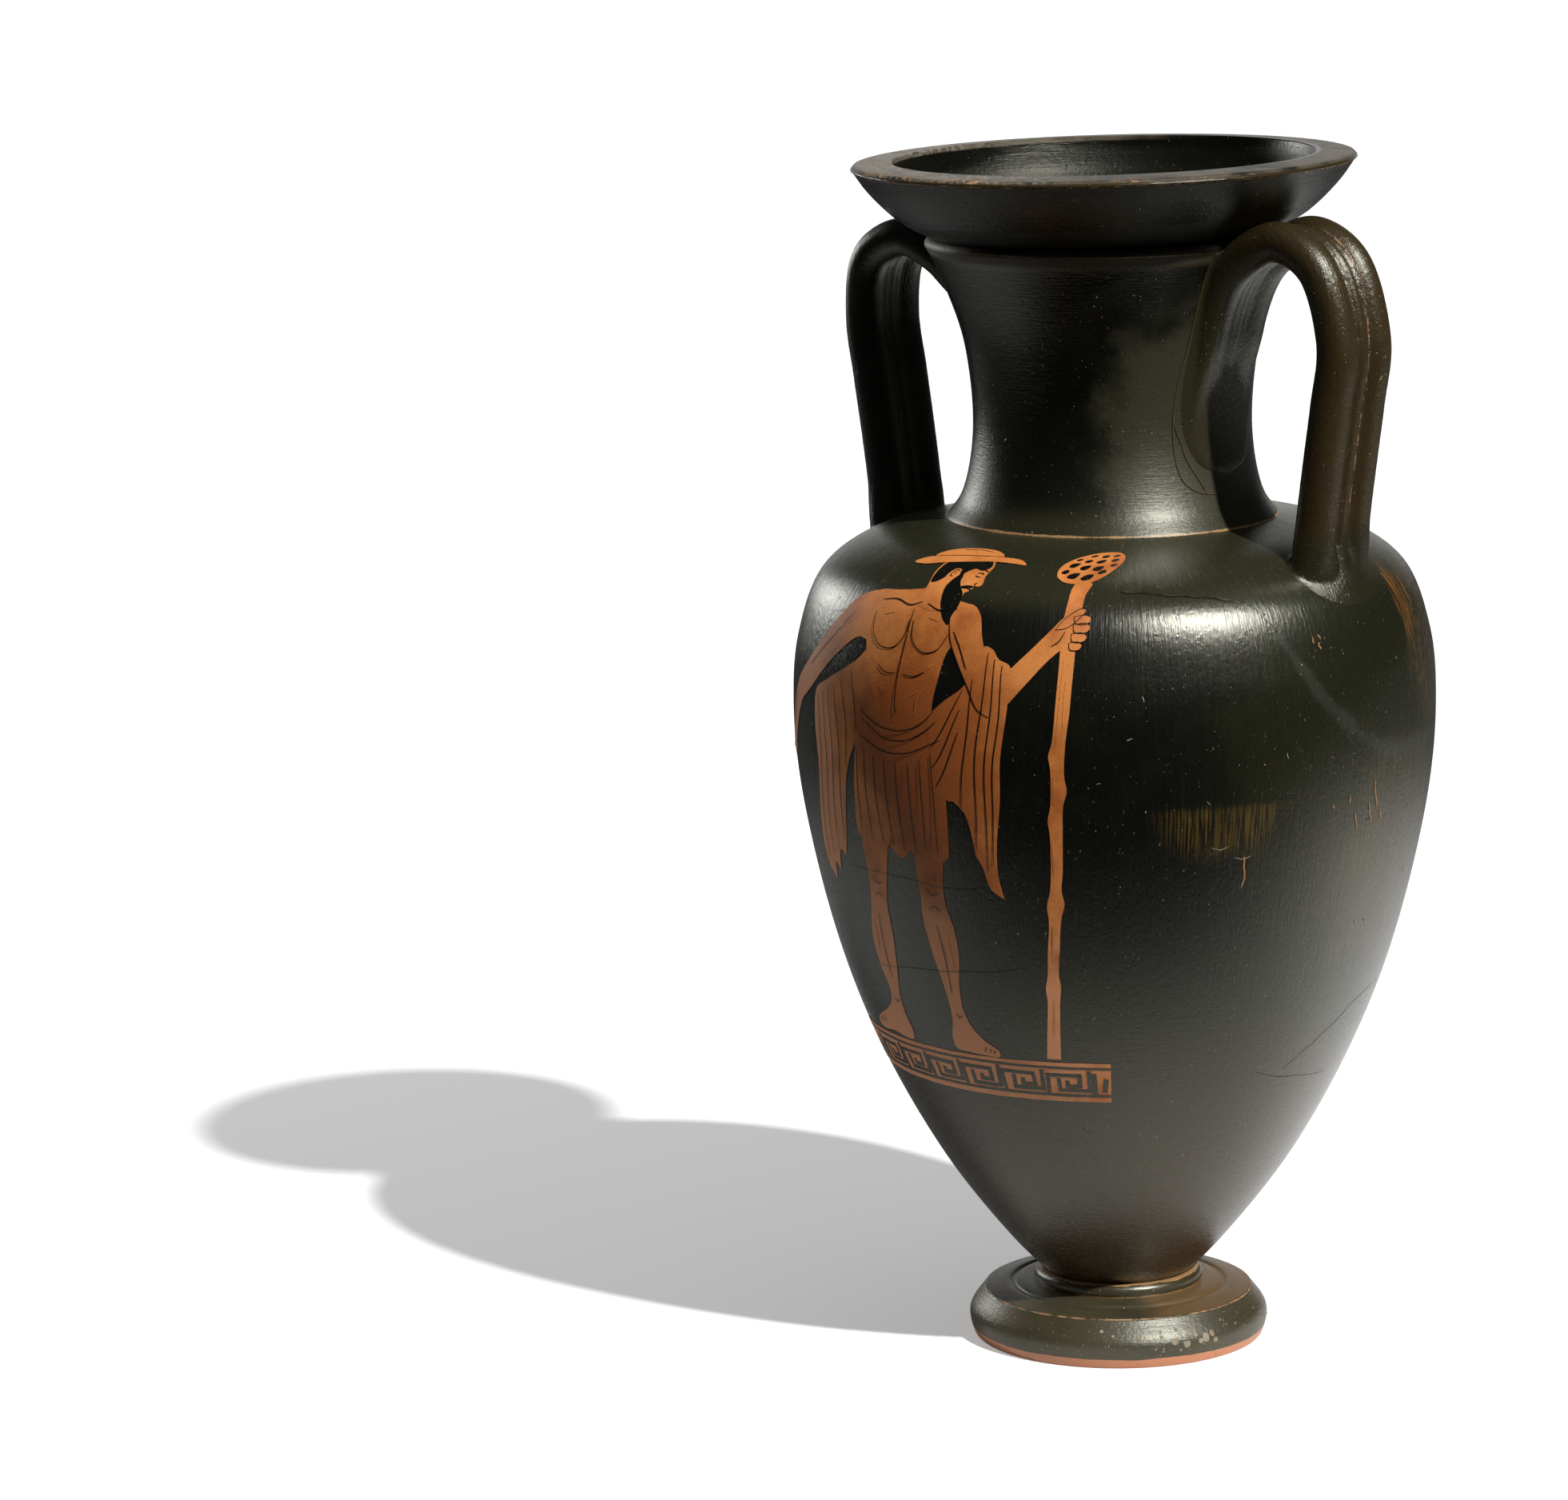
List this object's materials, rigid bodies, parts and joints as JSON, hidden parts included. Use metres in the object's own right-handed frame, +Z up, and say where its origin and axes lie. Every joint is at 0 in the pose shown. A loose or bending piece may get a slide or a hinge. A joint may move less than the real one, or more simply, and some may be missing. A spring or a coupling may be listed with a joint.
{
  "type": "neck amphora",
  "caption": "Small two-handled storage vessel with an offset neck, flaring mouth, swelling hollow body and disc foot.",
  "frame": {"origin": "centre of the foot's resting ring, on the ground", "axes": "+Z up the vessel's axis; -Y towards the painted front; the right handle stands 37.5 degrees in front of +X, the left one opposite"},
  "size_m": [0.1822, 0.1822, 0.34],
  "materials": {
    "black_gloss": "satin black slip with an olive tint over fired clay",
    "reserved_clay": "bare fired orange clay left unpainted"
  },
  "bodies": {
    "root": {"foot": "black_gloss", "foot_fillet_ring": "black_gloss", "body": "black_gloss", "neck": "black_gloss", "mouth": "black_gloss", "right_handle_neck_root": "black_gloss", "right_handle_shoulder_root": "black_gloss", "right_handle_front_roll": "black_gloss", "right_handle_centre_ridge": "black_gloss", "right_handle_back_roll": "black_gloss", "left_handle_neck_root": "black_gloss", "left_handle_shoulder_root": "black_gloss", "left_handle_front_roll": "black_gloss", "left_handle_centre_ridge": "black_gloss", "left_handle_back_roll": "black_gloss"}
  },
  "joints": []
}
